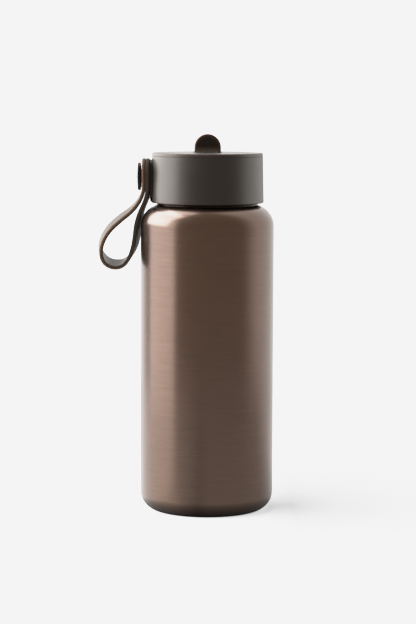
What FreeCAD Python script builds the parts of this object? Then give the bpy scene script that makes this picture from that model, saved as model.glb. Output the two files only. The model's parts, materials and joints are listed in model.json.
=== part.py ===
import FreeCAD, Part
import math
import os

from FreeCAD import Placement, Rotation, Vector

# Insulated wide-mouth bottle with a screw lid, a flip-up drinking spout and a carry strap.
# Millimetres. The origin is the centre of the foot on the floor, +Z is up, the strap hangs
# on the -X side, and the flat of the spout faces -Y.

# ---- driving dimensions -------------------------------------------------------------------

# steel flask
BODY_R = 45.0            # outside radius of the outer shell
SHEET = 0.6              # wall of every formed steel piece
FOOT_R = 32.5            # where the foot's flat ring meets the corner radius
CORNER_R = BODY_R - FOOT_R
SHOULDER_Z = 193.0       # where the straight wall ends
SHOULDER_R = 15.0
NECK_R = 34.0            # outside of the neck
NECK_TOP = 219.0
PAN_R = 30.0             # welded pan that closes the outer shell
PAN_Z = 2.0
PAD_THICK = 1.2
VACUUM_GAP = 4.0
FLASK_R = BODY_R - SHEET - VACUUM_GAP
MOUTH_R = 31.0           # inside of the neck
FLASK_FLOOR = 9.0        # underside of the inner floor
FLASK_CORNER = 12.0
GETTER_X = 15.0          # the getter sits beside the pumping hole
FLASK_SEAM = 22.0        # where the inner floor is welded to the inner wall

# lid
LID_BOTTOM = 208.8
LID_TOP = 242.5
LID_R_BOTTOM = 38.1
LID_R_TOP = 37.4
SKIRT_BORE = 35.6
DISC_THICK = 2.1
SEAM = 0.25              # shadow gap between the skirt and the top disc
PLUG_R = 28.6
PLUG_WALL = 2.0
PLUG_BOTTOM = 205.5
FLANGE_Z = 222.0
FLANGE_THICK = 2.4

# two-start thread between the plug and the mouth
STARTS = 2
LEAD = 8.0
THREAD_TURNS = 1.0
THREAD_START = 25.0      # degrees round from +X where the first thread begins
THREAD_Z = 206.8         # first turn of the mouth's thread
MOUTH_CREST = 29.8
PLUG_CREST = 30.6

# spout, its trough and the way for the drink
PORT_Y = 8.5             # the spout's axle, bore and straw share this place
AXLE_Z = 238.3
BARREL_R = 4.0
SPOUT_WIDE = 18.2
SPOUT_THICK = 7.0
SPOUT_TOP = 254.9
SPOUT_BORE = 2.5
TROUGH_HALF = 10.0
TROUGH_FRONT = 3.9
TROUGH_BACK = 26.5
TROUGH_FLOOR = 233.7
TROUGH_WALL = 1.8
TROUGH_CORNER = 1.5
AXLE_R = 1.5
AXLE_FIT = 0.05
DUCT_R = 5.6
PORT_R = 2.75
STRAW_R = 3.75
STRAW_TOP = 214.0
STRAW_BOTTOM = 12.5
VENT_Y = 20.0
VENT_R = 2.6
VENT_BORE = 1.2

# strap and its stud
STUD_Z = 226.5
SADDLE_X = -38.6         # flat seat for the strap on the side of the lid
STRAP_WIDE = 22.0
STRAP_THICK = 2.6
STRAP_TILT = 5.0         # degrees that the loop hangs back from the vertical
BUSH_R = 4.5
BUSH_LONG = 5.85
WASHER_R = 7.4
WASHER_THICK = 0.3
CAP_R = 9.5
CAP_THICK = 3.1
SCREW_R = 1.95
INSERT_R = 3.0

ORIGIN = Vector(0, 0, 0)
UP = Vector(0, 0, 1)
BIG = 200.0


# ---- helpers ------------------------------------------------------------------------------

def at(radius, height):
    return Vector(radius, 0, height)


def polar(centre, radius, degrees):
    angle = math.radians(degrees)
    return (centre[0] + radius * math.cos(angle), centre[1] + radius * math.sin(angle))


def turned(*steps):
    """Solid of revolution about Z. A step is a corner (r, z) or an arc (centre, radius, from, to)."""
    ends = []
    for step in steps:
        if len(step) == 2:
            ends.append((step, step, None))
        else:
            centre, radius, start, stop = step
            middle = polar(centre, radius, (start + stop) / 2)
            ends.append((polar(centre, radius, start), polar(centre, radius, stop), middle))
    edges = []
    for index, (first, last, middle) in enumerate(ends):
        if middle:
            edges.append(Part.Arc(at(*first), at(*middle), at(*last)).toShape())
        following = ends[(index + 1) % len(ends)][0]
        if math.dist(last, following) > 1e-6:
            edges.append(Part.LineSegment(at(*last), at(*following)).toShape())
    return Part.Face(Part.Wire(edges)).revolve(ORIGIN, UP, 360)


def tube(outer, inner, low, high, x=0.0, y=0.0):
    """Upright tube, or a rod where inner is zero."""
    solid = Part.makeCylinder(outer, high - low, Vector(x, y, low))
    if inner:
        solid = solid.cut(Part.makeCylinder(inner, high - low, Vector(x, y, low)))
    return solid


def block(x_low, x_high, y_low, y_high, z_low, z_high, corner=0.0):
    """Box between two corners, with its upright edges rounded where a corner radius is given."""
    solid = Part.makeBox(x_high - x_low, y_high - y_low, z_high - z_low, Vector(x_low, y_low, z_low))
    if corner:
        upright = [e for e in solid.Edges if abs(e.tangentAt(e.FirstParameter).z) > 0.99]
        solid = solid.makeFillet(corner, upright)
    return solid


def rod_along_x(radius, x_low, x_high, y, z):
    return Part.makeCylinder(radius, x_high - x_low, Vector(x_low, y, z), Vector(1, 0, 0))


def on_stud(shape):
    """Moves a shape built on +Z to the stud's axis, with its zero on the saddle's face."""
    placed = shape.copy()
    placed.Placement = Placement(Vector(SADDLE_X, 0, STUD_Z), Rotation(Vector(0, 1, 0), -90))
    return placed


def thread_ridges(root, crest, first_z):
    """Right-handed trapezoid ridges, one for each start, as a list of solids."""
    root_half, crest_half = 0.85, 0.4
    corners = [at(root, first_z - root_half), at(crest, first_z - crest_half),
               at(crest, first_z + crest_half), at(root, first_z + root_half)]
    section = Part.makePolygon(corners + corners[:1])
    path = Part.makeHelix(LEAD, LEAD * THREAD_TURNS, (root + crest) / 2)
    path.translate(Vector(0, 0, first_z))
    ridge = Part.Wire(path.Edges).makePipeShell([section], True, True)
    ridges = []
    for start in range(STARTS):
        copy = ridge.copy()
        copy.rotate(ORIGIN, UP, THREAD_START + 360.0 * start / STARTS)
        ridges.append(copy)
    return ridges


# ---- steel flask --------------------------------------------------------------------------

def outer_shell():
    foot = (FOOT_R, CORNER_R)
    crown = (BODY_R - SHOULDER_R, SHOULDER_Z)
    bore = NECK_R - SHEET
    inner_arc = SHOULDER_R - SHEET
    meets_neck = math.degrees(math.acos((NECK_R - crown[0]) / SHOULDER_R))
    meets_bore = math.degrees(math.acos((bore - crown[0]) / inner_arc))
    return turned(
        (PAN_R, 0), (foot, CORNER_R, -90, 0), (crown, SHOULDER_R, 0, meets_neck),
        (NECK_R, NECK_TOP), (bore, NECK_TOP), (crown, inner_arc, meets_bore, 0),
        (foot, CORNER_R - SHEET, 0, -90), (PAN_R, SHEET))


def outer_base():
    bead = 1.45
    return turned(
        (PAN_R, 0), (PAN_R, PAN_Z + SHEET), (bead, PAN_Z + SHEET), (bead, PAN_Z),
        (PAN_R - SHEET, PAN_Z), (PAN_R - SHEET, 0))


def inner_flask():
    crown = (BODY_R - SHOULDER_R, SHOULDER_Z)
    outer_arc = FLASK_R - crown[0]
    inner_arc = outer_arc - SHEET
    neck_out = MOUTH_R + SHEET
    meets_out = math.degrees(math.acos((neck_out - crown[0]) / outer_arc))
    meets_in = math.degrees(math.acos((MOUTH_R - crown[0]) / inner_arc))
    lip = SHEET / 2
    shell = turned(
        (FLASK_R, FLASK_SEAM), (crown, outer_arc, 0, meets_out), (neck_out, NECK_TOP),
        (NECK_R, NECK_TOP), ((NECK_R - lip, NECK_TOP + lip), lip, 0, 90),
        ((MOUTH_R + lip, NECK_TOP + lip), lip, 90, 180), (crown, inner_arc, meets_in, 0),
        (FLASK_R - SHEET, FLASK_SEAM))
    return shell.fuse(thread_ridges(MOUTH_R + 0.3, MOUTH_CREST, THREAD_Z)).removeSplitter()


def inner_base():
    knee = (FLASK_R - FLASK_CORNER, FLASK_FLOOR + FLASK_CORNER)
    return turned(
        (0, FLASK_FLOOR), (knee, FLASK_CORNER, -90, 0), (FLASK_R, FLASK_SEAM),
        (FLASK_R - SHEET, FLASK_SEAM), (knee, FLASK_CORNER - SHEET, 0, -90),
        (0, FLASK_FLOOR + SHEET))


def heat_shield():
    """Foil wrapped loosely round the inner wall."""
    slack, foil, short = 0.4, 0.2, 5.0
    return tube(FLASK_R + slack + foil, FLASK_R + slack, FLASK_SEAM + short, SHOULDER_Z - short)


def getter_pellet():
    low = PAN_Z + SHEET
    return tube(4.0, 0, low + 0.05, low + 1.6, x=GETTER_X)


def getter_clip():
    """Spring strip bent over the pellet, its two feet on the pan."""
    low, rise, strip = PAN_Z + SHEET, 2.0, 0.3
    outer, inner, half_wide = 6.0, 4.4, 2.0
    arch = block(GETTER_X - outer, GETTER_X + outer, -half_wide, half_wide, low, low + rise)
    return arch.cut(block(GETTER_X - inner, GETTER_X + inner, -half_wide, half_wide, low,
                          low + rise - strip))


def seal_bead():
    """Fused glass bead in the pumping hole."""
    radius, rise = 3.0, 0.6
    ball = (radius ** 2 + rise ** 2) / (2 * rise)
    centre = (0, PAN_Z - rise + ball)
    edge = math.degrees(math.asin(radius / ball)) - 90
    return turned(
        (0, PAN_Z + SHEET + 0.2), (1.4, PAN_Z + SHEET + 0.2), (1.4, PAN_Z),
        (centre, ball, edge, -90))


def pad_adhesive():
    """Ring of foam tape, open round the seal bead."""
    outer, inner = 26.0, 12.0
    return tube(outer, inner, PAD_THICK, PAN_Z)


def base_pad():
    """Non-slip pad, level with the steel ring around it."""
    radius, edge = PAN_R - SHEET - 0.4, 0.4
    return turned(
        (0, 0), ((radius - edge, edge), edge, -90, 0),
        ((radius - edge, PAD_THICK - edge), edge, 0, 90), (0, PAD_THICK))


# ---- lid ----------------------------------------------------------------------------------

def lid_radius(height):
    return LID_R_BOTTOM - (LID_R_BOTTOM - LID_R_TOP) * (height - LID_BOTTOM) / (LID_TOP - LID_BOTTOM)


def lid_skirt():
    top = LID_TOP - DISC_THICK - SEAM
    toe, brow = 0.9, 0.25
    skirt = turned(
        (SKIRT_BORE, LID_BOTTOM + toe), (SKIRT_BORE + toe, LID_BOTTOM),
        ((LID_R_BOTTOM - toe, LID_BOTTOM + toe), toe, -90, 0),
        (lid_radius(top - brow), top - brow), (lid_radius(top) - brow, top), (SKIRT_BORE, top))
    return skirt.cut(rod_along_x(SCREW_R + 0.3, -BIG, 0, 0, STUD_Z))


def lid_top_disc():
    low = LID_TOP - DISC_THICK
    edge, brow = 0.6, 0.25
    lip_out, lip_in, lip_deep = 33.6, 32.0, 1.5
    disc = turned(
        (0, low), (lip_in, low), (lip_in, low - lip_deep), (lip_out, low - lip_deep), (lip_out, low),
        (lid_radius(low) - brow, low), (lid_radius(low + brow), low + brow),
        ((lid_radius(LID_TOP) - edge, LID_TOP - edge), edge, 0, 90), (0, LID_TOP))
    slot = block(-TROUGH_HALF, TROUGH_HALF, TROUGH_FRONT, TROUGH_BACK, low - 1, LID_TOP + 1,
                 TROUGH_CORNER)
    return disc.cut(slot)


def lid_core():
    """Threaded plug, flange, trough and ducts in one moulding."""
    flange_top = FLANGE_Z + FLANGE_THICK
    fit, tower, tower_half = 0.1, 4.0, 4.5
    rim_out = SKIRT_BORE - fit
    rim_in = rim_out - TROUGH_WALL
    rim_top = LID_TOP - DISC_THICK
    tub_floor = TROUGH_FLOOR - TROUGH_WALL
    bore_in = PLUG_R - PLUG_WALL
    core = turned(
        (0, FLANGE_Z), (bore_in, FLANGE_Z), (bore_in, PLUG_BOTTOM), (PLUG_R - 0.6, PLUG_BOTTOM),
        (PLUG_R, PLUG_BOTTOM + 0.6), (PLUG_R, FLANGE_Z), (rim_out, FLANGE_Z), (rim_out, rim_top),
        (rim_in, rim_top), (rim_in, flange_top), (0, flange_top))
    additions = thread_ridges(PLUG_R - 0.3, PLUG_CREST, THREAD_Z + LEAD / STARTS / 2)
    additions.append(block(
        -TROUGH_HALF - TROUGH_WALL, TROUGH_HALF + TROUGH_WALL,
        TROUGH_FRONT - TROUGH_WALL, TROUGH_BACK + TROUGH_WALL, tub_floor, rim_top,
        TROUGH_CORNER + TROUGH_WALL))
    for side in (-1, 1):
        near, far = sorted((side * (TROUGH_HALF + 1.0), side * (TROUGH_HALF + 1.0 + tower)))
        additions.append(block(near, far, PORT_Y - tower_half, PORT_Y + tower_half,
                               flange_top - 1.0, rim_top))
    additions.append(tube(DUCT_R, 0, PLUG_BOTTOM - 2, tub_floor + 1, y=PORT_Y))
    additions.append(tube(VENT_R, 0, PLUG_BOTTOM, tub_floor + 1, y=VENT_Y))
    additions.append(rod_along_x(INSERT_R + 1.4, -rim_in - 0.9, -27.0, 0, STUD_Z))
    core = core.fuse(additions)
    cuts = [
        block(-TROUGH_HALF, TROUGH_HALF, TROUGH_FRONT, TROUGH_BACK, TROUGH_FLOOR, rim_top + 1,
              TROUGH_CORNER),
        tube(BARREL_R + 0.45, 0, TROUGH_FLOOR - 1.0, TROUGH_FLOOR + 1, y=PORT_Y),
        tube(PORT_R, 0, STRAW_TOP, TROUGH_FLOOR, y=PORT_Y),
        tube(STRAW_R + 0.05, 0, PLUG_BOTTOM - 3, STRAW_TOP, y=PORT_Y),
        tube(VENT_BORE, 0, PLUG_BOTTOM - 1, TROUGH_FLOOR + 1, y=VENT_Y),
        rod_along_x(AXLE_R, -TROUGH_HALF - 4.0, TROUGH_HALF + 4.0, PORT_Y, AXLE_Z),
        rod_along_x(INSERT_R, -rim_out - 1, -28.4, 0, STUD_Z)]
    return core.cut(cuts)


def plug_cap():
    cap = tube(PLUG_R - PLUG_WALL - 0.1, 0, PLUG_BOTTOM + 0.2, PLUG_BOTTOM + 1.9)
    return cap.cut([tube(DUCT_R + 0.1, 0, PLUG_BOTTOM, PLUG_BOTTOM + 2, y=PORT_Y),
                    tube(VENT_R + 0.1, 0, PLUG_BOTTOM, PLUG_BOTTOM + 2, y=VENT_Y)])


def insulation_puck():
    low, high = PLUG_BOTTOM + 2.1, FLANGE_Z - 0.2
    puck = tube(PLUG_R - PLUG_WALL - 0.3, 0, low, high)
    return puck.cut([tube(DUCT_R + 0.3, 0, low, high, y=PORT_Y),
                     tube(VENT_R + 0.3, 0, low, high, y=VENT_Y)])


def lid_gasket():
    low, high, inner, outer, edge = NECK_TOP + SHEET + 0.05, FLANGE_Z, 31.2, 33.8, 0.5
    return turned(
        ((inner + edge, low + edge), edge, 180, 270), ((outer - edge, low + edge), edge, -90, 0),
        (outer, high), (inner, high))


def straw():
    pipe = tube(STRAW_R, PORT_R, STRAW_BOTTOM, STRAW_TOP, y=PORT_Y)
    bevel = Part.makeBox(20, 20, 20, Vector(-10, -10, -20))
    bevel.rotate(ORIGIN, Vector(1, 0, 0), 35)
    bevel.translate(Vector(0, PORT_Y, STRAW_BOTTOM + 2.6))
    return pipe.cut(bevel)


# ---- spout --------------------------------------------------------------------------------

def spout_tab():
    half, crown_z = SPOUT_WIDE / 2, SPOUT_TOP - SPOUT_WIDE / 2
    front = PORT_Y - SPOUT_THICK / 2
    a, b = Vector(-half, front, AXLE_Z), Vector(-half, front, crown_z)
    c, d = Vector(half, front, crown_z), Vector(half, front, AXLE_Z)
    outline = Part.Wire([
        Part.LineSegment(a, b).toShape(),
        Part.Arc(b, Vector(0, front, SPOUT_TOP), c).toShape(),
        Part.LineSegment(c, d).toShape(), Part.LineSegment(d, a).toShape()])
    tab = Part.Face(outline).extrude(Vector(0, SPOUT_THICK, 0))
    rim = []
    for edge in tab.Edges:
        across = edge.BoundBox.YLength < 1e-6
        on_axle = edge.BoundBox.ZMax < AXLE_Z + 1e-6
        if across and not on_axle:
            rim.append(edge)
    tab = tab.makeFillet(1.3, rim)
    barrel = rod_along_x(BARREL_R, -half, half, PORT_Y, AXLE_Z)
    tab = tab.fuse(barrel)
    axle_hole = AXLE_R + AXLE_FIT
    return tab.cut([
        tube(SPOUT_BORE, 0, AXLE_Z - BARREL_R - 1, SPOUT_TOP + 1, y=PORT_Y),
        rod_along_x(axle_hole, -half - 1, -half + 4.5, PORT_Y, AXLE_Z),
        rod_along_x(axle_hole, half - 4.5, half + 1, PORT_Y, AXLE_Z)])


def spout_axles():
    """Two stub pins, so that the drinking bore stays clear between them."""
    inner, outer = SPOUT_WIDE / 2 - 4.2, TROUGH_HALF + 4.0
    return Part.makeCompound([rod_along_x(AXLE_R, -outer, -inner, PORT_Y, AXLE_Z),
                              rod_along_x(AXLE_R, inner, outer, PORT_Y, AXLE_Z)])


def spout_seal():
    seat = tube(BARREL_R + 0.4, SPOUT_BORE, TROUGH_FLOOR - 1.0, TROUGH_FLOOR + 0.9, y=PORT_Y)
    return seat.cut(rod_along_x(BARREL_R + 0.15, -TROUGH_HALF, TROUGH_HALF, PORT_Y, AXLE_Z))


def vent_valve():
    head = turned((0, TROUGH_FLOOR), (VENT_R, TROUGH_FLOOR), (VENT_R - 0.2, TROUGH_FLOOR + 0.3),
                  (0, TROUGH_FLOOR + 0.6))
    stem = tube(VENT_BORE - 0.25, 0, TROUGH_FLOOR - 6.0, TROUGH_FLOOR + 0.1)
    valve = head.fuse(stem)
    valve.translate(Vector(0, VENT_Y, 0))
    return valve


# ---- strap and stud -----------------------------------------------------------------------

def strap_saddle():
    """Pad with a flat seat outside and a hollow back that fits the skirt."""
    half, low, high = 10.0, 209.8, 238.0
    pad = block(SADDLE_X, SADDLE_X + 4, -half, half, low, high)
    corners = [e for e in pad.Edges if abs(e.tangentAt(e.FirstParameter).x) > 0.99]
    pad = pad.makeFillet(half - 1.0, corners)
    hollow = tube(SKIRT_BORE + 1, 0, LID_BOTTOM, LID_TOP)
    return pad.cut([lid_skirt(), hollow, rod_along_x(SCREW_R + 0.3, -BIG, 0, 0, STUD_Z)])


def strap_bush():
    return on_stud(tube(BUSH_R, SCREW_R + 0.1, 0, BUSH_LONG))


def stud_washer():
    return on_stud(tube(WASHER_R, SCREW_R + 0.1, BUSH_LONG, BUSH_LONG + WASHER_THICK))


def stud_screw():
    """Screw through the bush into the lid, with a socket in its low head."""
    seat = BUSH_LONG + WASHER_THICK
    depth, head_r, head_high, socket_r, socket_deep = 8.6, 4.0, 1.0, 1.25, 0.8
    shank = tube(SCREW_R, 0, -depth, seat + head_high / 2)
    head = tube(head_r, 0, seat, seat + head_high)
    socket = tube(socket_r, 0, seat + head_high - socket_deep, seat + head_high)
    return on_stud(shank.fuse(head).cut(socket))


def stud_cap():
    """Slightly domed button, hollow behind for the screw's head."""
    low = BUSH_LONG + WASHER_THICK
    edge, dome, pocket_r, pocket = 0.8, 0.8, 4.3, 1.2
    rim = CAP_R - edge
    rim_top = low + CAP_THICK - dome
    ball = (rim ** 2 + dome ** 2) / (2 * dome)
    face = (0, low + CAP_THICK - ball)
    meets_rim = math.degrees(math.acos(rim / ball))
    return on_stud(turned(
        (pocket_r, low), ((rim, low + edge), edge, -90, 0), ((rim, rim_top - edge), edge, 0, 90),
        (face, ball, meets_rim, 90), (0, low + pocket), (pocket_r, low + pocket)))


def strap_insert():
    inner, outer = -28.4, -SKIRT_BORE + 0.4
    sleeve = rod_along_x(INSERT_R, outer, inner, 0, STUD_Z)
    return sleeve.cut(rod_along_x(SCREW_R + 0.05, outer, inner, 0, STUD_Z))


def strap_route():
    """Middle line of the folded band in the XZ plane, from the inner end round to the outer end."""
    inner_x = SADDLE_X - 0.2 - STRAP_THICK / 2
    outer_x = inner_x - STRAP_THICK - 0.1
    top = STUD_Z + STRAP_WIDE / 2 + 1
    return [
        (inner_x, top), (inner_x, 232.0), (inner_x, 226.0), (inner_x, 221.0),
        (inner_x - 0.6, 215.5), (-42.4, 209.8), (-45.1, 202.5), (-46.8, 194.5), (-47.8, 186.0),
        (-49.3, 178.3), (-52.6, 171.3), (-57.4, 166.6), (-63.3, 165.5), (-69.2, 168.4),
        (-72.1, 174.8), (-70.9, 182.6), (-66.3, 190.5), (-59.2, 197.3), (-52.9, 202.2),
        (-48.2, 206.9), (-44.9, 212.0), (outer_x - 0.4, 216.8), (outer_x, 221.5),
        (outer_x, 226.0), (outer_x, 232.0), (outer_x, top)]


def strap():
    """Silicone band folded into a loop, its two ends side by side on the bush."""
    half_wide, half_thick = STRAP_WIDE / 2, STRAP_THICK / 2
    middle = Part.BSplineCurve()
    middle.interpolate([Vector(x, 0, z) for x, z in strap_route()])
    steps = 90
    first, last = middle.FirstParameter, middle.LastParameter
    sides = ([], [])
    for step in range(steps + 1):
        parameter = first + (last - first) * step / steps
        point, along = middle.value(parameter), middle.tangent(parameter)[0]
        normal = Vector(-along.z, 0, along.x) * half_thick
        sides[0].append(point + normal)
        sides[1].append(point - normal)
    edges = []
    for side in sides:
        curve = Part.BSplineCurve()
        curve.interpolate(side)
        edges.append(curve.toShape())
    for end in (0, -1):
        edges.append(Part.LineSegment(sides[0][end], sides[1][end]).toShape())
    face = Part.Face(Part.Wire(Part.__sortEdges__(edges)))
    face.translate(Vector(0, -half_wide, 0))
    band = face.extrude(Vector(0, STRAP_WIDE, 0))
    end_round = half_wide + 0.4
    keep = rod_along_x(end_round, -BIG, 0, 0, STUD_Z).fuse(
        block(-BIG, 0, -half_wide, half_wide, 0, STUD_Z))
    band = band.common(keep).cut(rod_along_x(BUSH_R + 0.3, -BIG, 0, 0, STUD_Z))
    band.rotate(Vector(0, 0, STUD_Z), Vector(1, 0, 0), STRAP_TILT)
    return band


# ---- output -------------------------------------------------------------------------------

NODES = (
    outer_shell, outer_base, inner_flask, inner_base, heat_shield, getter_pellet, getter_clip,
    seal_bead, pad_adhesive, base_pad,
    lid_skirt, lid_top_disc, lid_core, plug_cap, insulation_puck, lid_gasket, straw,
    spout_tab, spout_axles, spout_seal, vent_valve,
    strap_saddle, strap_bush, stud_washer, stud_screw, stud_cap, strap_insert, strap)

os.makedirs("parts", exist_ok=True)
for make in NODES:
    shape = make()
    print(f"{make.__name__:18s} solids {len(shape.Solids)}  valid {shape.isValid()}"
          f"  volume {shape.Volume / 1000:8.3f} cm3")
    shape.exportStep(f"parts/{make.__name__}.step")
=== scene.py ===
import json
import math

import bmesh
import bpy
from mathutils import Matrix, Vector


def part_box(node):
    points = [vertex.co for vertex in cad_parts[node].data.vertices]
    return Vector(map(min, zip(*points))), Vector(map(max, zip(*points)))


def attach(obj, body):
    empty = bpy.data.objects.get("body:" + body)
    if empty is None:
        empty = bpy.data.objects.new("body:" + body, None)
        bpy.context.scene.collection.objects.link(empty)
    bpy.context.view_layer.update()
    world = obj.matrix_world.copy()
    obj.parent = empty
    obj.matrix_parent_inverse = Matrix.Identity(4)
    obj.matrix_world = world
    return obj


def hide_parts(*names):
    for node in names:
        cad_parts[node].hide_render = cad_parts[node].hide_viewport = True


# Insulated bottle with a satin copper finish, a dark screw lid, a flip-up spout and a carry
# strap. Metres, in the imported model's frame: +Z up, the strap on -X, the spout's flat to -Y.

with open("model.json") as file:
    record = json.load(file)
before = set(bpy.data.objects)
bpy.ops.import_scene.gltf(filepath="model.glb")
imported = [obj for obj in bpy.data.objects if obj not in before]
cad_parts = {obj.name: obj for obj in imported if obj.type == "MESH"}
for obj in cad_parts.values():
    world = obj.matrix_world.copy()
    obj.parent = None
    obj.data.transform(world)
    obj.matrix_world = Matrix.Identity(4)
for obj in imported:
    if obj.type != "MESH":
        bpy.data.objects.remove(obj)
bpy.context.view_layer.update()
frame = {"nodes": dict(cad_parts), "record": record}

MM = 0.001
SAME_PLACE = 1e-7


# ---- sizes read from the frame ------------------------------------------------------------

def low_high(node, axis):
    low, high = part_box(node)
    return low[axis], high[axis]


FLOOR_Z, _ = low_high("base_pad", 2)
BODY_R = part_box("outer_shell")[1].x
NECK_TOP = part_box("outer_shell")[1].z
PAN_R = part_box("outer_base")[1].x
LID_LOW, SKIRT_TOP = low_high("lid_skirt", 2)
LID_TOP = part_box("lid_top_disc")[1].z
LID_LOW_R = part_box("lid_skirt")[1].x
DISC_LOW = SKIRT_TOP + 0.05 * MM
STUD_Z = sum(low_high("stud_cap", 2)) / 2
SPOUT_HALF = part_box("spout_tab")[1].x
CROWN_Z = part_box("spout_tab")[1].z - SPOUT_HALF
SADDLE_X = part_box("strap_saddle")[0].x

# sizes of the formed steel, the lid and the strap that a box doesn't give
SHEET = 0.6 * MM
CORNER_R = 12.5 * MM
SHOULDER_R = 15.0 * MM
SHOULDER_Z = 193.0 * MM
NECK_R = 34.0 * MM
# height from which the neck gets painted shade, standing in for the shade under the lid
NECK_PAINTED_SHADE_Z = 207.2 * MM
LID_TOP_R = 37.4 * MM
SKIRT_BORE = 35.6 * MM
TROUGH_HALF = 10.0 * MM
TROUGH_FRONT, TROUGH_BACK = 3.9 * MM, 26.5 * MM
STRAP_WIDE = 22.0 * MM
STRAP_THICK = 2.6 * MM
STRAP_TILT = math.radians(5.0)
STRAP_END_R = STRAP_WIDE / 2 + 0.4 * MM
STRAP_END_Z = STUD_Z + 1.0 * MM


# ---- mesh helpers -------------------------------------------------------------------------

CREASE, CUT_CREASE = math.radians(35), math.radians(40)


def mesh_object(name, bm):
    """Object from a bmesh, smooth except at edges sharper than CREASE."""
    mesh = bpy.data.meshes.new(name)
    bm.normal_update()
    bm.to_mesh(mesh)
    bm.free()
    mesh.shade_smooth()
    mesh.set_sharp_from_angle(angle=CREASE)
    piece = bpy.data.objects.new(name, mesh)
    bpy.context.scene.collection.objects.link(piece)
    return piece


def arc(centre, radius, start, stop, count):
    """Points (r, z) on an arc, in degrees, both ends included."""
    points = []
    for step in range(count + 1):
        angle = math.radians(start + (stop - start) * step / count)
        points.append((centre[0] + radius * math.cos(angle), centre[1] + radius * math.sin(angle)))
    return points


def line(first, last, count):
    """Points from first to last, both included."""
    return [(first[0] + (last[0] - first[0]) * step / count,
             first[1] + (last[1] - first[1]) * step / count) for step in range(count + 1)]


def joined(*runs):
    """One outline from several runs, without doubled points where they meet."""
    outline = []
    for run in runs:
        for point in run:
            if not outline or math.dist(outline[-1], point) > SAME_PLACE:
                outline.append(point)
    if math.dist(outline[0], outline[-1]) < SAME_PLACE:
        outline.pop()
    return outline


def bridge(bm, here, there):
    """Faces between two rings of vertices, or between a ring and a single vertex."""
    count = max(len(here), len(there))
    if count == 1:
        return
    for step in range(count):
        after = (step + 1) % count
        if len(here) == 1:
            bm.faces.new((here[0], there[after], there[step]))
        elif len(there) == 1:
            bm.faces.new((here[step], here[after], there[0]))
        else:
            bm.faces.new((here[step], here[after], there[after], there[step]))


ROUND_STEPS = 192


def revolved(name, outline):
    """Closed surface of revolution about Z from a closed outline of (r, z)."""
    bm = bmesh.new()
    angles = [2 * math.pi * step / ROUND_STEPS for step in range(ROUND_STEPS)]
    rings = []
    for radius, height in outline:
        if radius < SAME_PLACE:
            rings.append([bm.verts.new((0, 0, height))])
        else:
            rings.append([bm.verts.new((radius * math.cos(angle), radius * math.sin(angle), height))
                          for angle in angles])
    for here, there in zip(rings, rings[1:] + rings[:1]):
        bridge(bm, here, there)
    bmesh.ops.recalc_face_normals(bm, faces=bm.faces)
    return mesh_object(name, bm)


# ---- material helpers ---------------------------------------------------------------------

class Nodes:
    """Short way to write the nodes of a material or of the world."""

    def __init__(self, tree):
        self.tree = tree

    def feed(self, socket, value):
        """Links a socket's value, or sets a plain one."""
        if isinstance(value, bpy.types.NodeSocket):
            self.tree.links.new(value, socket)
        else:
            socket.default_value = value

    def node(self, kind, **inputs):
        made = self.tree.nodes.new(kind)
        for name, value in inputs.items():
            self.feed(made.inputs[name.replace("_", " ")], value)
        return made

    def calc(self, operation, first, second=0.0):
        made = self.tree.nodes.new("ShaderNodeMath")
        made.operation = operation
        self.feed(made.inputs[0], first)
        self.feed(made.inputs[1], second)
        return made.outputs[0]

    def total(self, *values):
        added = values[0]
        for value in values[1:]:
            added = self.calc("ADD", added, value)
        return added

    def between(self, value, low, high, start=0.3, stop=0.7, smooth=False):
        """value from start..stop mapped to low..high."""
        made = self.node("ShaderNodeMapRange")
        if smooth:
            made.interpolation_type = "SMOOTHSTEP"
        self.feed(made.inputs["Value"], value)
        for name, number in (("From Min", start), ("From Max", stop), ("To Min", low), ("To Max", high)):
            made.inputs[name].default_value = number
        return made.outputs["Result"]

    def mix(self, factor, first, second):
        """Colour from first to second."""
        made = self.tree.nodes.new("ShaderNodeMix")
        made.data_type = "RGBA"
        self.feed(made.inputs["Factor"], factor)
        for name, colour in (("A", first), ("B", second)):
            self.feed(next(s for s in made.inputs if s.name == name and s.type == "RGBA"), colour)
        return next(s for s in made.outputs if s.type == "RGBA")

    def lit_or_seen(self, lighting, seen):
        """One shader for the light that the bottle gets, another for what the camera sees."""
        made = self.tree.nodes.new("ShaderNodeMixShader")
        self.feed(made.inputs[0], self.node("ShaderNodeLightPath").outputs["Is Camera Ray"])
        self.feed(made.inputs[1], lighting)
        self.feed(made.inputs[2], seen)
        return made.outputs[0]


class Graph(Nodes):
    """Nodes of a new material."""

    def __init__(self, name):
        self.material = bpy.data.materials.new(name)
        self.material.use_nodes = True
        super().__init__(self.material.node_tree)
        self.shader = self.tree.nodes["Principled BSDF"]

    def shade(self, values):
        """Sets or links inputs of the shader by their full names."""
        for name, value in values.items():
            self.feed(self.shader.inputs[name], value)

    def place(self, scale):
        """The object's own coordinates, stretched by scale."""
        coordinates = self.node("ShaderNodeTexCoord")
        mapping = self.node("ShaderNodeMapping", Scale=scale)
        self.feed(mapping.inputs["Vector"], coordinates.outputs["Object"])
        return mapping.outputs["Vector"]

    def axes(self):
        """X, Y and Z of the object's own coordinates, in metres."""
        split = self.node("ShaderNodeSeparateXYZ")
        self.feed(split.inputs[0], self.node("ShaderNodeTexCoord").outputs["Object"])
        return split.outputs

    def noise(self, scale, detail, rough=0.55, stretch=(1, 1, 1)):
        made = self.node("ShaderNodeTexNoise", Scale=scale, Detail=detail, Roughness=rough)
        self.feed(made.inputs["Vector"], self.place(stretch))
        return made.outputs["Fac"]

    def bump(self, height, strength, distance):
        made = self.node("ShaderNodeBump", Strength=strength, Distance=distance)
        self.feed(made.inputs["Height"], height)
        return made.outputs["Normal"]


def tone(colour, factor):
    return tuple(min(1.0, channel * factor) for channel in colour) + (1.0,)


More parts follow.
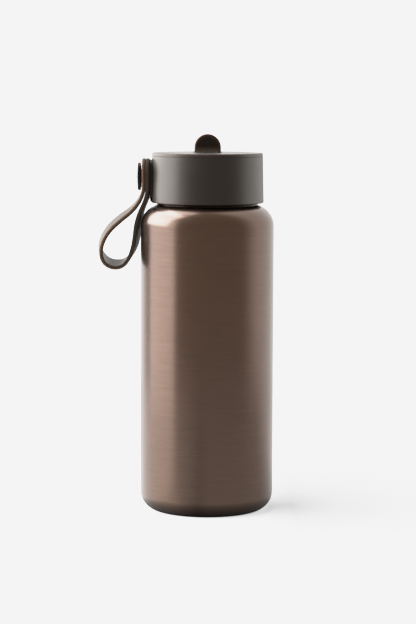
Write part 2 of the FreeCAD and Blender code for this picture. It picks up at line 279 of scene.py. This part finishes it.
def grained(name, colour, rough, grain, depth, spread=0.12, metallic=0.0, more=None):
    """Moulded or cast surface: fine grain in the bump, slow clouds in colour and gloss.

    spread is how far the clouds change the colour, and more holds further shader inputs.
    """
    graph = Graph(name)
    clouds = graph.noise(38.0, 4.0)
    fine = graph.noise(grain, 2.0, 0.6)
    graph.shade({
        "Base Color": graph.mix(graph.between(clouds, 0.0, 1.0),
                                tone(colour, 1 - spread), tone(colour, 1 + spread)),
        "Roughness": graph.between(clouds, rough * 0.92, rough * 1.08),
        "Metallic": metallic,
        "Normal": graph.bump(fine, 0.35, depth),
    })
    graph.shade(more or {})
    return graph.material


def brushed(name, colour, rough, stretch):
    """Bare brushed metal with streaks across the direction that stretch makes fine."""
    graph = Graph(name)
    streaks = graph.noise(1.0, 3.0, 0.7, stretch)
    clouds = graph.noise(26.0, 4.0)
    shade = graph.between(streaks, 0.0, 1.0)
    graph.shade({
        "Base Color": graph.mix(shade, tone(colour, 0.93), tone(colour, 1.07)),
        "Roughness": graph.between(clouds, rough * 0.94, rough * 1.06),
        "Metallic": 1.0,
        "Normal": graph.bump(streaks, 0.25, 0.02 * MM),
    })
    return graph.material


# ---- materials, one function each ---------------------------------------------------------

COPPER = (0.20, 0.122, 0.087)
# painted shade: near-black for the neck under the lid
NECK_PAINTED_SHADE = (0.012, 0.009, 0.007, 1)
LID = (0.029, 0.021, 0.015)
# painted highlight: warm brown for the lid's upper edge
LID_RIM_HIGHLIGHT = (0.075, 0.040, 0.024, 1)
SILICONE = (0.056, 0.042, 0.031)
# painted highlight: warm brown for the strap's outer corners
SILICONE_CORNER_HIGHLIGHT = (0.17, 0.098, 0.066, 1)
SPOUT_DEEP = ((0.011, 0.0042, 0.002, 1), (0.014, 0.0055, 0.003, 1))
# painted highlight for the spout's rounded rim, and painted reflection of the lid top for its foot
SPOUT_RIM_HIGHLIGHT = (0.115, 0.052, 0.030, 1)
SPOUT_LID_REFLECTION = (0.17, 0.145, 0.125, 1)


def copper_satin():
    """Lacquered metal with brushing round the bottle and faint clouds, and painted shade on the neck
    under the lid.
    """
    graph = Graph("copper_satin")
    rings = graph.noise(1.0, 3.0, 0.7, (70, 70, 6500))
    clouds = graph.noise(24.0, 5.0, 0.6)
    tint = graph.mix(graph.between(clouds, 0.0, 1.0), tone(COPPER, 0.92), tone(COPPER, 1.08))
    strokes = graph.noise(1.0, 2.0, 0.6, (45, 45, 900))
    marks = graph.calc("ADD", graph.calc("MULTIPLY", rings, 0.4), graph.calc("MULTIPLY", strokes, 0.6))
    brush = graph.mix(graph.between(marks, 0.0, 0.6, 0.38, 0.62), tint, tone(COPPER, 1.24))
    height = graph.axes()[2]
    # painted shade: above this height the neck turns near-black and loses its coat, standing in for the
    # shade under the lid
    painted_shade_under_lid = graph.between(height, 0.0, 1.0, NECK_PAINTED_SHADE_Z, NECK_PAINTED_SHADE_Z + 0.5 * MM)
    graph.shade({
        "Base Color": graph.mix(painted_shade_under_lid, brush, NECK_PAINTED_SHADE),
        "Metallic": 0.92,
        "Roughness": graph.between(clouds, 0.24, 0.27),
        "Coat Weight": graph.between(painted_shade_under_lid, 1.0, 0.0, 0.0, 1.0),
        "Coat Roughness": 0.24,
        "Normal": graph.bump(rings, 0.2, 0.01 * MM),
    })
    return graph.material


def raw_steel():
    return brushed("raw_steel", (0.60, 0.585, 0.565), 0.34, (40, 40, 3600))


def copper_foil():
    return brushed("copper_foil", (0.75, 0.42, 0.28), 0.24, (300, 300, 300))


def getter_alloy():
    return grained("getter_alloy", (0.24, 0.24, 0.25), 0.7, 4200, 0.05 * MM, 0.2, 0.8)


def solder_glass():
    return grained("solder_glass", (0.05, 0.06, 0.07), 0.12, 900, 0.02 * MM)


def adhesive_foam():
    return grained("adhesive_foam", (0.7, 0.68, 0.6), 0.8, 2600, 0.1 * MM, 0.1)


def lid_taupe():
    """Fine-grained satin plastic, with a painted highlight in warmer brown along its upper edge."""
    graph = Graph("lid_taupe")
    clouds = graph.noise(38.0, 4.0)
    height = graph.axes()[2]
    # painted highlight: a warm brown band just under the top edge, where the rounded rim catches the
    # light
    rim_highlight_band = graph.calc(
        "MULTIPLY", graph.between(height, 0.0, 1.0, LID_TOP - 1.5 * MM, LID_TOP - 0.9 * MM),
        graph.between(height, 1.0, 0.0, LID_TOP - 0.25 * MM, LID_TOP - 0.05 * MM))
    plain = graph.mix(graph.between(clouds, 0.0, 1.0), tone(LID, 0.94), tone(LID, 1.06))
    graph.shade({
        "Base Color": graph.mix(rim_highlight_band, plain, LID_RIM_HIGHLIGHT),
        "Roughness": graph.between(clouds, 0.39, 0.45),
        "Specular IOR Level": 0.8,
        "Normal": graph.bump(graph.noise(5200.0, 2.0, 0.6), 0.35, 0.012 * MM),
    })
    return graph.material


def core_black():
    return grained("core_black", (0.022, 0.019, 0.017), 0.5, 4200, 0.02 * MM)


def puck_foam():
    return grained("puck_foam", (0.85, 0.84, 0.8), 0.85, 1500, 0.2 * MM, 0.05)


def clear_silicone():
    return grained("clear_silicone", (0.62, 0.62, 0.6), 0.42, 3000, 0.01 * MM, 0.05, more={
        "Subsurface Weight": 0.3, "Subsurface Scale": 2 * MM})


def straw_plastic():
    return grained("straw_plastic", (0.72, 0.73, 0.74), 0.35, 3200, 0.01 * MM, 0.04, more={
        "Transmission Weight": 0.35})


def spout_brown():
    """Dark plastic with a painted highlight, browner, towards its thin rounded rim and a painted
    reflection of the lid top, paler, just above the lid.
    """
    graph = Graph("spout_brown")
    x, _, z = graph.axes()
    rise = graph.calc("MAXIMUM", graph.calc("SUBTRACT", z, CROWN_Z), 0.0)
    squares = graph.calc("ADD", graph.calc("MULTIPLY", x, x), graph.calc("MULTIPLY", rise, rise))
    reach = graph.calc("SQRT", squares)
    rim_highlight_reach = graph.between(reach, 0.0, 1.0, SPOUT_HALF - 3.6 * MM, SPOUT_HALF)
    lid_reflection_reach = graph.between(z, 1.0, 0.0, LID_TOP + 0.3 * MM, LID_TOP + 5.0 * MM)
    # rim is the painted highlight on the rounded rim, foot the painted reflection of the lid top just
    # above the lid
    rim, foot = graph.calc("POWER", rim_highlight_reach, 2.5), graph.calc("POWER", lid_reflection_reach, 2.0)
    clouds = graph.noise(160.0, 3.0)
    body = graph.mix(foot, graph.mix(graph.between(clouds, 0.0, 1.0), *SPOUT_DEEP), SPOUT_LID_REFLECTION)
    graph.shade({
        "Base Color": graph.mix(rim, body, SPOUT_RIM_HIGHLIGHT),
        "Roughness": graph.between(clouds, 0.24, 0.28),
        "Specular IOR Level": 0.5,
        "Normal": graph.bump(graph.noise(3600.0, 2.0), 0.3, 0.005 * MM),
    })
    return graph.material


def pin_steel():
    return brushed("pin_steel", (0.52, 0.52, 0.52), 0.28, (3000, 200, 200))


def stud_black():
    return grained("stud_black", (0.006, 0.0055, 0.005), 0.14, 2400, 0.004 * MM, 0.1)


def insert_brass():
    return brushed("insert_brass", (0.72, 0.54, 0.25), 0.3, (3000, 200, 200))


def strap_silicone():
    """Soft matte silicone, with a painted highlight in warmer brown along the strap's outer corners."""
    graph = Graph("strap_silicone")
    clouds = graph.noise(38.0, 4.0)
    corner_highlight = graph.node("ShaderNodeAttribute")
    corner_highlight.attribute_name = "corner"
    plain = graph.mix(graph.between(clouds, 0.0, 1.0), tone(SILICONE, 0.93), tone(SILICONE, 1.07))
    graph.shade({
        # painted highlight: warm brown on the outer corners, where the rounded edges catch the light
        "Base Color": graph.mix(corner_highlight.outputs["Fac"], plain, SILICONE_CORNER_HIGHLIGHT),
        "Roughness": graph.between(clouds, 0.50, 0.58),
        "Specular IOR Level": 0.48,
        "Specular Tint": (1.0, 0.86, 0.74, 1.0),
        "Normal": graph.bump(graph.noise(6200.0, 2.0, 0.6), 0.35, 0.012 * MM),
    })
    return graph.material


MAKERS = (copper_satin, raw_steel, copper_foil, getter_alloy, solder_glass, adhesive_foam, lid_taupe,
          core_black, puck_foam, clear_silicone, straw_plastic, spout_brown, pin_steel, stud_black,
          insert_brass, strap_silicone)
MATERIALS = {make.__name__: make() for make in MAKERS}


def dress_nodes():
    """Every CAD node wears the material of its slot."""
    for subpart in frame["record"]["subparts"]:
        node = frame["nodes"][subpart["node"]]
        node.data.materials.clear()
        node.data.materials.append(MATERIALS[subpart["material_slot"]])


def add_piece(piece, body, slot, node):
    """Gives a piece its material and its body, and lets it stand for a CAD node."""
    piece.data.materials.append(MATERIALS[slot])
    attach(piece, body)
    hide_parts(node)


# ---- pieces -------------------------------------------------------------------------------

def copper_body():
    """Outer wall: foot ring, corner, straight wall, shoulder and neck, as thin sheet."""
    foot = (BODY_R - CORNER_R, CORNER_R)
    crown = (BODY_R - SHOULDER_R, SHOULDER_Z)
    bore = NECK_R - SHEET
    meets_neck = math.degrees(math.acos((NECK_R - crown[0]) / SHOULDER_R))
    meets_bore = math.degrees(math.acos((bore - crown[0]) / (SHOULDER_R - SHEET)))
    outside = joined(
        [(PAN_R, 0.0)], arc(foot, CORNER_R, -90, 0, 24),
        line((BODY_R, CORNER_R), (BODY_R, SHOULDER_Z), 24),
        arc(crown, SHOULDER_R, 0, meets_neck, 28), [(NECK_R, NECK_TOP)])
    inside = joined(
        [(bore, NECK_TOP)], arc(crown, SHOULDER_R - SHEET, meets_bore, 0, 14),
        arc(foot, CORNER_R - SHEET, 0, -90, 12), [(PAN_R, SHEET)])
    add_piece(revolved("copper_body", outside + inside), "bottle", "copper_satin", "outer_shell")


def lid_radius(height):
    """Outside radius of the slightly tapered lid at a height."""
    return LID_LOW_R - (LID_LOW_R - LID_TOP_R) * (height - LID_LOW) / (LID_TOP - LID_LOW)


def lid_side():
    """Tapered side wall of the lid, rounded under its foot and at its upper edge."""
    toe, brow = 0.9 * MM, 0.16 * MM
    foot = (LID_LOW_R - toe, LID_LOW + toe)
    shoulder = (lid_radius(SKIRT_TOP) - brow, SKIRT_TOP - brow)
    outline = joined(
        [(SKIRT_BORE, LID_LOW + toe)], arc((SKIRT_BORE + toe, LID_LOW + toe), toe, 180, 270, 6),
        arc(foot, toe, -90, 0, 8),
        line((LID_LOW_R, LID_LOW + toe), (shoulder[0] + brow, shoulder[1]), 12),
        arc(shoulder, brow, 0, 90, 5), [(SKIRT_BORE, SKIRT_TOP)])
    add_piece(revolved("lid_side", outline), "lid", "lid_taupe", "lid_skirt")


def slot_cutter():
    """Prism of the spout's slot, flared at the top to round the slot's edge."""
    corner, flare = 1.5 * MM, 0.35 * MM
    levels = ((DISC_LOW - 3 * MM, 0.0), (LID_TOP - flare, 0.0), (LID_TOP - 0.1 * MM, flare * 0.3),
              (LID_TOP + flare, flare * 1.6))
    bm = bmesh.new()
    rings = []
    for height, grow in levels:
        half, front, back = TROUGH_HALF + grow, TROUGH_FRONT - grow, TROUGH_BACK + grow
        radius = corner + grow
        ring = []
        for x, y, start in ((half, back, 0), (-half, back, 90), (-half, front, 180), (half, front, 270)):
            centre = (x - math.copysign(radius, x), y - radius if y == back else y + radius)
            rounding = arc(centre, radius, start, start + 90, 8)
            ring += [bm.verts.new((px, py, height)) for px, py in rounding]
        rings.append(ring)
    for here, there in zip(rings, rings[1:]):
        bridge(bm, here, there)
    bm.faces.new(list(reversed(rings[0])))
    bm.faces.new(rings[-1])
    bmesh.ops.recalc_face_normals(bm, faces=bm.faces)
    return mesh_object("slot_cutter", bm)


def cut_away(piece, cutter):
    """Takes the cutter's shape out of the piece and deletes the cutter."""
    change = piece.modifiers.new("cut", "BOOLEAN")
    change.operation = "DIFFERENCE"
    change.solver = "EXACT"
    change.object = cutter
    bpy.context.view_layer.update()
    cut = bpy.data.meshes.new_from_object(piece.evaluated_get(bpy.context.evaluated_depsgraph_get()))
    piece.modifiers.clear()
    piece.data = cut
    bpy.data.objects.remove(cutter)
    cut.set_sharp_from_angle(angle=CUT_CREASE)


def lid_plate():
    """Top of the lid with a rounded rim, a fine seam below it and a slot for the spout."""
    edge, brow = 0.6 * MM, 0.14 * MM
    rim = (lid_radius(LID_TOP) - edge, LID_TOP - edge)
    lip_out, lip_in, lip_deep = 33.6 * MM, 32.0 * MM, 1.4 * MM
    seam = (lid_radius(DISC_LOW) - brow, DISC_LOW + brow)
    outline = joined(
        [(0, DISC_LOW), (lip_in, DISC_LOW), (lip_in, DISC_LOW - lip_deep),
         (lip_out, DISC_LOW - lip_deep), (lip_out, DISC_LOW)],
        arc(seam, brow, -90, 0, 5), arc(rim, edge, 0, 90, 10), line((rim[0], LID_TOP), (0, LID_TOP), 6))
    plate = revolved("lid_plate", outline)
    cut_away(plate, slot_cutter())
    add_piece(plate, "lid", "lid_taupe", "lid_top_disc")


# path of the strap's middle line in the XZ plane, from its inner end round to its outer end, with
# BESIDE_STUD and HANG in millimetres
INNER_X = SADDLE_X - 0.2 * MM - STRAP_THICK / 2
OUTER_X = INNER_X - STRAP_THICK - 0.04 * MM
BESIDE_STUD = (221.0, 226.0, 232.0)
HANG = ((-40.7, 215.5), (-42.4, 209.8), (-45.1, 202.5), (-46.8, 194.5), (-47.8, 186.0),
        (-49.3, 178.3), (-52.6, 171.3), (-57.4, 166.6), (-63.3, 165.5), (-69.2, 168.4),
        (-72.1, 174.8), (-70.9, 182.6), (-66.3, 190.5), (-59.2, 197.3), (-52.9, 202.2),
        (-48.2, 206.9), (-44.9, 212.0))


def strap_route():
    """The path's points: straight beside the stud, with the hanging loop between."""
    top = STRAP_END_Z + STRAP_END_R
    low, middle, high = (height * MM for height in BESIDE_STUD)
    down = [Vector((INNER_X, 0, height)) for height in (top, high, middle, low)]
    loop = [Vector((x * MM, 0, z * MM)) for x, z in HANG]
    up = [Vector((OUTER_X - 0.4 * MM, 0, 216.8 * MM))]
    up += [Vector((OUTER_X, 0, height)) for height in (low + 0.5 * MM, middle, high, top)]
    return down + loop + up


def spline_points(route, spacing):
    """Points close together on the smooth curve through the route."""
    points = [route[0] * 2 - route[1]] + route + [route[-1] * 2 - route[-2]]
    found = []
    for a, b, c, d in zip(points, points[1:], points[2:], points[3:]):
        count = max(2, round((c - b).length / spacing))
        for step in range(count):
            t = step / count
            found.append(0.5 * (2 * b + (c - a) * t + (2 * a - 5 * b + 4 * c - d) * t * t
                                + (3 * b - a - 3 * c + d) * t ** 3))
    found.append(route[-1].copy())
    return found


def relaxed(points, rounds):
    """The same line with its small changes of bend evened out."""
    for _ in range(rounds):
        middle = [(a + 2 * b + c) / 4 for a, b, c in zip(points, points[1:], points[2:])]
        points = [points[0]] + middle + [points[-1]]
    return points


def eased(value, start, stop):
    """0 at start, 1 at stop, smooth between."""
    part = max(0.0, min(1.0, (value - start) / (stop - start)))
    return part * part * (3 - 2 * part)


def strap_fan(point, outer):
    """How far the band's near edge and far edge are pulled sideways at this point."""
    settle = eased(point.z, 165 * MM, 179 * MM)
    if outer:
        amount = eased(point.z, 209 * MM, 194 * MM) * settle
        return amount * 0.65 * MM, amount * -1.1 * MM
    amount = eased(point.z, 214 * MM, 192 * MM) * settle
    below_stud = eased(point.z, 219 * MM, 211 * MM) * (1 - amount)
    return amount * -1.35 * MM, amount * 1.35 * MM + below_stud * 1.8 * MM


def rounded(inset, edge):
    """Half the band's thickness at a distance in from its edge, which is rounded by edge."""
    inset = min(max(0.0, inset), edge)
    return STRAP_THICK / 2 * math.sqrt(max(0.0, 1 - (1 - inset / edge) ** 2))


# the band's edges, the lift of its far edge, the rows that may belong to a round end, and the
# rows over which the painted highlight on its corner fades in before the lowest point
HALF_WIDE = STRAP_WIDE / 2
OUTER_EDGE, INNER_EDGE = 0.45 * MM, 0.16 * MM
FAR_LIFT = 1.3 * MM
END_ROWS, HIGHLIGHT_ROWS = 60, 14


def band_across():
    """Places across the band from edge to edge, close together where the edges are round."""
    near_edge = [HALF_WIDE - OUTER_EDGE * (1 - math.cos(math.pi / 2 * step / 5)) for step in range(6)]
    inner = [(HALF_WIDE - OUTER_EDGE) * step / 10 for step in range(9, -1, -1)]
    half = near_edge + inner
    return [-y for y in half] + half[-2::-1]


def strap_rows(path):
    """Rows across the band: points of its outer and inner face, and how strong the painted highlight on
    its corner is.
    """
    across = band_across()
    lowest = min(range(len(path)), key=lambda i: path[i].z)
    rows = []
    for index, point in enumerate(path):
        before, after = path[max(0, index - 1)], path[min(len(path) - 1, index + 1)]
        along = (after - before).normalized()
        normal = Vector((-along.z, 0, along.x))
        rise = point.z - STRAP_END_Z
        width = HALF_WIDE
        if rise > 0 and (index < END_ROWS or index > len(path) - END_ROWS):
            width = min(HALF_WIDE, math.sqrt(max(0.0, STRAP_END_R ** 2 - rise ** 2)))
        near, far = strap_fan(point, index > lowest)
        lift = FAR_LIFT * eased(point.z, 182 * MM, 168 * MM)
        left, right = [], []
        for place in across:
            y = place * width / HALF_WIDE
            inset = width - abs(y)
            if width < HALF_WIDE:
                inset = min(inset, STRAP_END_R - math.hypot(y, max(0.0, rise)))
            aside = near + (far - near) * (y + HALF_WIDE) / STRAP_WIDE
            centre = point + Vector((aside, y, lift * (y + HALF_WIDE) / STRAP_WIDE))
            left.append(centre + normal * rounded(inset, OUTER_EDGE))
            right.append(centre - normal * rounded(inset, INNER_EDGE))
        # the third value is the painted highlight on the corner, fading in before the loop's lowest
        # point
        rows.append((left, right, max(0.0, min(1.0, 1 + (index - lowest) / HIGHLIGHT_ROWS))))
    return rows


def strap_band():
    """Moulded silicone band with small round edges and round ends, folded into a hanging loop."""
    path = relaxed(spline_points(strap_route(), 0.8 * MM), 6)
    bm = bmesh.new()
    corner = bm.verts.layers.float.new("corner")
    rings = []
    for left, right, corner_highlight_amount in strap_rows(path):
        ring = [bm.verts.new(co) for co in left] + [bm.verts.new(co) for co in reversed(right[1:-1])]
        last = len(left) - 1
        for index, vert in enumerate(ring[:last + 1]):
            steps_in = min(index, last - index)
            # the corner layer carries the painted highlight on the band's outer corners
            vert[corner] = corner_highlight_amount if 1 <= steps_in <= 4 else 0.0
        rings.append(ring)
    for here, there in zip(rings, rings[1:]):
        bridge(bm, here, there)
    bm.faces.new(rings[0])
    bm.faces.new(reversed(rings[-1]))
    bmesh.ops.remove_doubles(bm, verts=bm.verts, dist=1e-6)
    bmesh.ops.recalc_face_normals(bm, faces=bm.faces)
    stud = Matrix.Translation((0, 0, STUD_Z))
    bm.transform(stud @ Matrix.Rotation(STRAP_TILT, 4, "X") @ stud.inverted())
    add_piece(mesh_object("strap_band", bm), "strap", "strap_silicone", "strap")


dress_nodes()
copper_body()
lid_side()
lid_plate()
strap_band()


# ---- studio -------------------------------------------------------------------------------

PAPER_WHITE = 2.0
FLOOR_R = 0.7
WHITE, BLACK, DIM = (1, 1, 1, 1), (0, 0, 0, 1), (0.1, 0.1, 0.1, 1)


def floor_seen(graph, x, away):
    """White paper that takes a shadow on the bottle's right, glows with painted light that is stronger
    on its left, and has a painted contact shadow, black, just round its foot.
    """
    # painted contact shadow: the floor is black in a ring just round the foot
    clear = graph.between(away, 0.0, 1.0, PAN_R + 2.5 * MM, PAN_R + 8.5 * MM)
    paint = graph.node("ShaderNodeBsdfDiffuse", Color=graph.mix(clear, BLACK, DIM))
    # painted light: the glow is much stronger left of the bottle, so its shadow shows on the right only
    strength = graph.calc("MULTIPLY", clear, graph.between(x, 2.2, 0.3, -0.03, 0.06))
    glow = graph.node("ShaderNodeEmission", Color=WHITE, Strength=strength)
    seen = graph.node("ShaderNodeAddShader")
    graph.feed(seen.inputs[0], paint.outputs[0])
    graph.feed(seen.inputs[1], glow.outputs[0])
    return seen.outputs[0]


def floor_bounce(graph, x, y, away):
    """Light that the bottle gets back from the floor: none round its foot, most at the back left."""
    to_back_left = graph.calc("ADD", graph.calc("MULTIPLY", x, -0.57), graph.calc("MULTIPLY", y, 0.82))
    aside = graph.calc("DIVIDE", x, graph.calc("MAXIMUM", away, 0.001))
    left = graph.calc("MULTIPLY", graph.between(to_back_left, 0.6, 1.3, -0.04, 0.03),
                      graph.between(aside, 1.0, 0.0, -0.6, 0.3))
    back = graph.calc("MULTIPLY", graph.between(y, 0.4, 0.8, 0.0, 0.2),
                      graph.between(aside, 0.6, 1.0, -0.3, 0.0))
    front = graph.between(away, 0.0, 0.45, 0.15, 0.6)
    most = graph.calc("MAXIMUM", front, graph.calc("MAXIMUM", left, back))
    open_floor = graph.between(away, 0.0, 1.0, PAN_R * 1.2, BODY_R * 1.5)
    strength = graph.calc("MULTIPLY", open_floor, most)
    return graph.node("ShaderNodeEmission", Color=WHITE, Strength=strength).outputs[0]


def floor():
    """Pale even floor that looks brighter to the camera than it is to the bottle."""
    bm = bmesh.new()
    bmesh.ops.create_circle(bm, cap_ends=True, segments=96, radius=FLOOR_R)
    plane = mesh_object("floor", bm)
    plane.location.z = FLOOR_Z
    graph = Graph("pale_floor")
    x, y, _ = graph.axes()
    squares = graph.calc("ADD", graph.calc("MULTIPLY", x, x), graph.calc("MULTIPLY", y, y))
    away = graph.calc("SQRT", squares)
    surface = graph.lit_or_seen(floor_bounce(graph, x, y, away), floor_seen(graph, x, away))
    graph.feed(graph.tree.nodes["Material Output"].inputs["Surface"], surface)
    plane.data.materials.append(graph.material)
    return plane


def camera():
    """Long lens in front of the bottle and a little above it, looking slightly down."""
    pitch, roll = 0.0996, 0.0039
    lens = bpy.data.cameras.new("camera")
    lens.lens = 128.28
    lens.sensor_width = 36.0
    holder = bpy.data.objects.new("camera", lens)
    bpy.context.scene.collection.objects.link(holder)
    place = Matrix.Translation((0.000674, -1.5, 0.2846))
    tilt = Matrix.Rotation(math.pi / 2 - pitch, 4, "X")
    holder.matrix_world = place @ tilt @ Matrix.Rotation(roll, 4, "Z")
    bpy.context.scene.camera = holder


class Sky(Nodes):
    """Arithmetic on directions for the world's shader."""

    def __init__(self, tree):
        super().__init__(tree)
        split = self.node("ShaderNodeSeparateXYZ")
        self.feed(split.inputs[0], self.node("ShaderNodeTexCoord").outputs["Generated"])
        self.x, self.y, self.z = split.outputs

    def step(self, value, start, stop):
        """Smooth 0 to 1 as value goes from start to stop."""
        return self.between(value, 0.0, 1.0, start, stop, smooth=True)

    def azimuth(self):
        """Degrees round from the camera's side, positive to its right."""
        turn = self.calc("ARCTAN2", self.x, self.calc("MULTIPLY", self.y, -1.0))
        return self.calc("MULTIPLY", turn, 180 / math.pi)

    def elevation(self):
        return self.calc("MULTIPLY", self.calc("ARCSINE", self.z), 180 / math.pi)


ROOM_DIM, ROOM_BRIGHT = (0.27, 0.235, 0.20, 1), (0.86, 0.86, 0.86, 1)


def studio():
    """Room that is bright behind and on the right, and dim on the left and towards the camera."""
    world = bpy.data.worlds.new("studio")
    bpy.context.scene.world = world
    world.use_nodes = True
    world.node_tree.nodes.clear()
    sky = Sky(world.node_tree)
    turn, rise = sky.azimuth(), sky.elevation()
    behind = sky.step(sky.calc("ABSOLUTE", turn), 110, 152)
    bright = sky.calc("MAXIMUM", sky.step(turn, 60, 100), behind)
    left_back = sky.calc("MULTIPLY", sky.step(sky.calc("MULTIPLY", turn, -1.0), 95, 130), 0.45)
    above = sky.calc("MULTIPLY", sky.step(rise, 45, 75), 0.15)
    below = sky.calc("MULTIPLY", sky.step(sky.calc("MULTIPLY", rise, -1.0), 4, 12), 0.2)
    unseen = sky.node("ShaderNodeBackground", Color=sky.mix(bright, ROOM_DIM, ROOM_BRIGHT),
                      Strength=sky.total(above, below, left_back, 1.0))
    seen = sky.node("ShaderNodeBackground", Color=WHITE, Strength=1.1 * PAPER_WHITE)
    sky.node("ShaderNodeOutputWorld", Surface=sky.lit_or_seen(unseen.outputs[0], seen.outputs[0]))


def aimed(name, light, place, aim, lit):
    """Puts a light at a place, facing its aim, shining only on the objects in lit."""
    holder = bpy.data.objects.new(name, light)
    bpy.context.scene.collection.objects.link(holder)
    holder.location = place
    holder.rotation_euler = (Vector(aim) - Vector(place)).to_track_quat("-Z", "Y").to_euler()
    holder.visible_camera = False
    chosen = bpy.data.collections.new(name + "_lights")
    for item in lit:
        chosen.objects.link(item)
    holder.light_linking.receiver_collection = chosen


def soft_box(name, lit, place, aim, size, watts, colour):
    """Rectangular light, size wide and high."""
    light = bpy.data.lights.new(name, "AREA")
    light.color = colour
    light.shape = "RECTANGLE"
    light.size, light.size_y = size
    light.energy = watts
    aimed(name, light, place, aim, lit)


def floor_light(name, lit, place, strength, spread):
    """Distant soft light that keeps the floor even and throws the bottle's shadow on it."""
    light = bpy.data.lights.new(name, "SUN")
    light.energy = strength
    light.angle = math.radians(spread)
    aimed(name, light, place, (0, 0, 0), lit)


WARM, COOL, AMBER = (1.0, 0.965, 0.925), (0.985, 1.0, 1.04), (1.0, 0.92, 0.84)


def lights(ground):
    """Soft boxes for the metal and for the plastics, and a light that only the ground gets."""
    items = [item for item in bpy.data.objects if item.type == "MESH" and item != ground]
    metal = [item for item in items if MATERIALS["copper_satin"].name in item.data.materials]
    other = [item for item in items if item not in metal]
    matte = [item for item in other if MATERIALS["stud_black"].name not in item.data.materials]
    soft_box("key", metal, (-0.62, 0.17, 0.62), (0, 0.17, 0.2), (0.80, 0.72), 9.5, COOL)
    soft_box("key_fill", other, (-0.62, 0.02, 0.68), (0, 0, 0.2), (0.95, 0.62), 5.0, WARM)
    soft_box("overhead", metal, (-0.30, 0.15, 0.90), (0, 0, 0.2), (0.50, 0.45), 1.7, COOL)
    soft_box("side_panel", metal, (-0.65, -0.08, 0.30), (0, -0.08, 0.30), (0.70, 0.60), 2.25, COOL)
    soft_box("lid_panel", matte, (-0.65, 0.285, 0.30), (0, 0.285, 0.30), (1.23, 0.60), 10.2, WARM)
    soft_box("lid_side_panel", other, (0.65, 0.37, 0.30), (0, 0.37, 0.30), (1.06, 0.60), 1.7, AMBER)
    soft_box("lid_back", other, (-0.15, 0.90, 0.36), (-0.15, 0, 0.30), (1.0, 0.50), 2.4, WARM)
    floor_light("floor_light", [ground], (-0.525, -0.191, 0.829), 65.5, 70)


# print tone against light, where a tone of 1 is white, and the tone of the brightest light
PRINT_CURVE = ((0.5, 0.5), (0.72, 0.66), (0.905, 0.76), (1.3, 0.85), (1.65, 0.887))
PRINT_TOP = 0.905


def develop():
    """Print tone: straight up to the middle, with highlights rolled off gently below white."""
    view = bpy.context.scene.view_settings
    view.view_transform = "Standard"
    view.use_curve_mapping = True
    mapping = view.curve_mapping
    mapping.extend = "HORIZONTAL"
    mapping.white_level = (PAPER_WHITE, PAPER_WHITE, PAPER_WHITE)
    curve = mapping.curves[3]
    for light, print_tone in PRINT_CURVE:
        curve.points.new(light / PAPER_WHITE, print_tone)
    curve.points[-1].location = (1.0, PRINT_TOP)
    for point in curve.points:
        point.handle_type = "VECTOR"
    mapping.update()


ground = floor()
camera()
studio()
lights(ground)
develop()
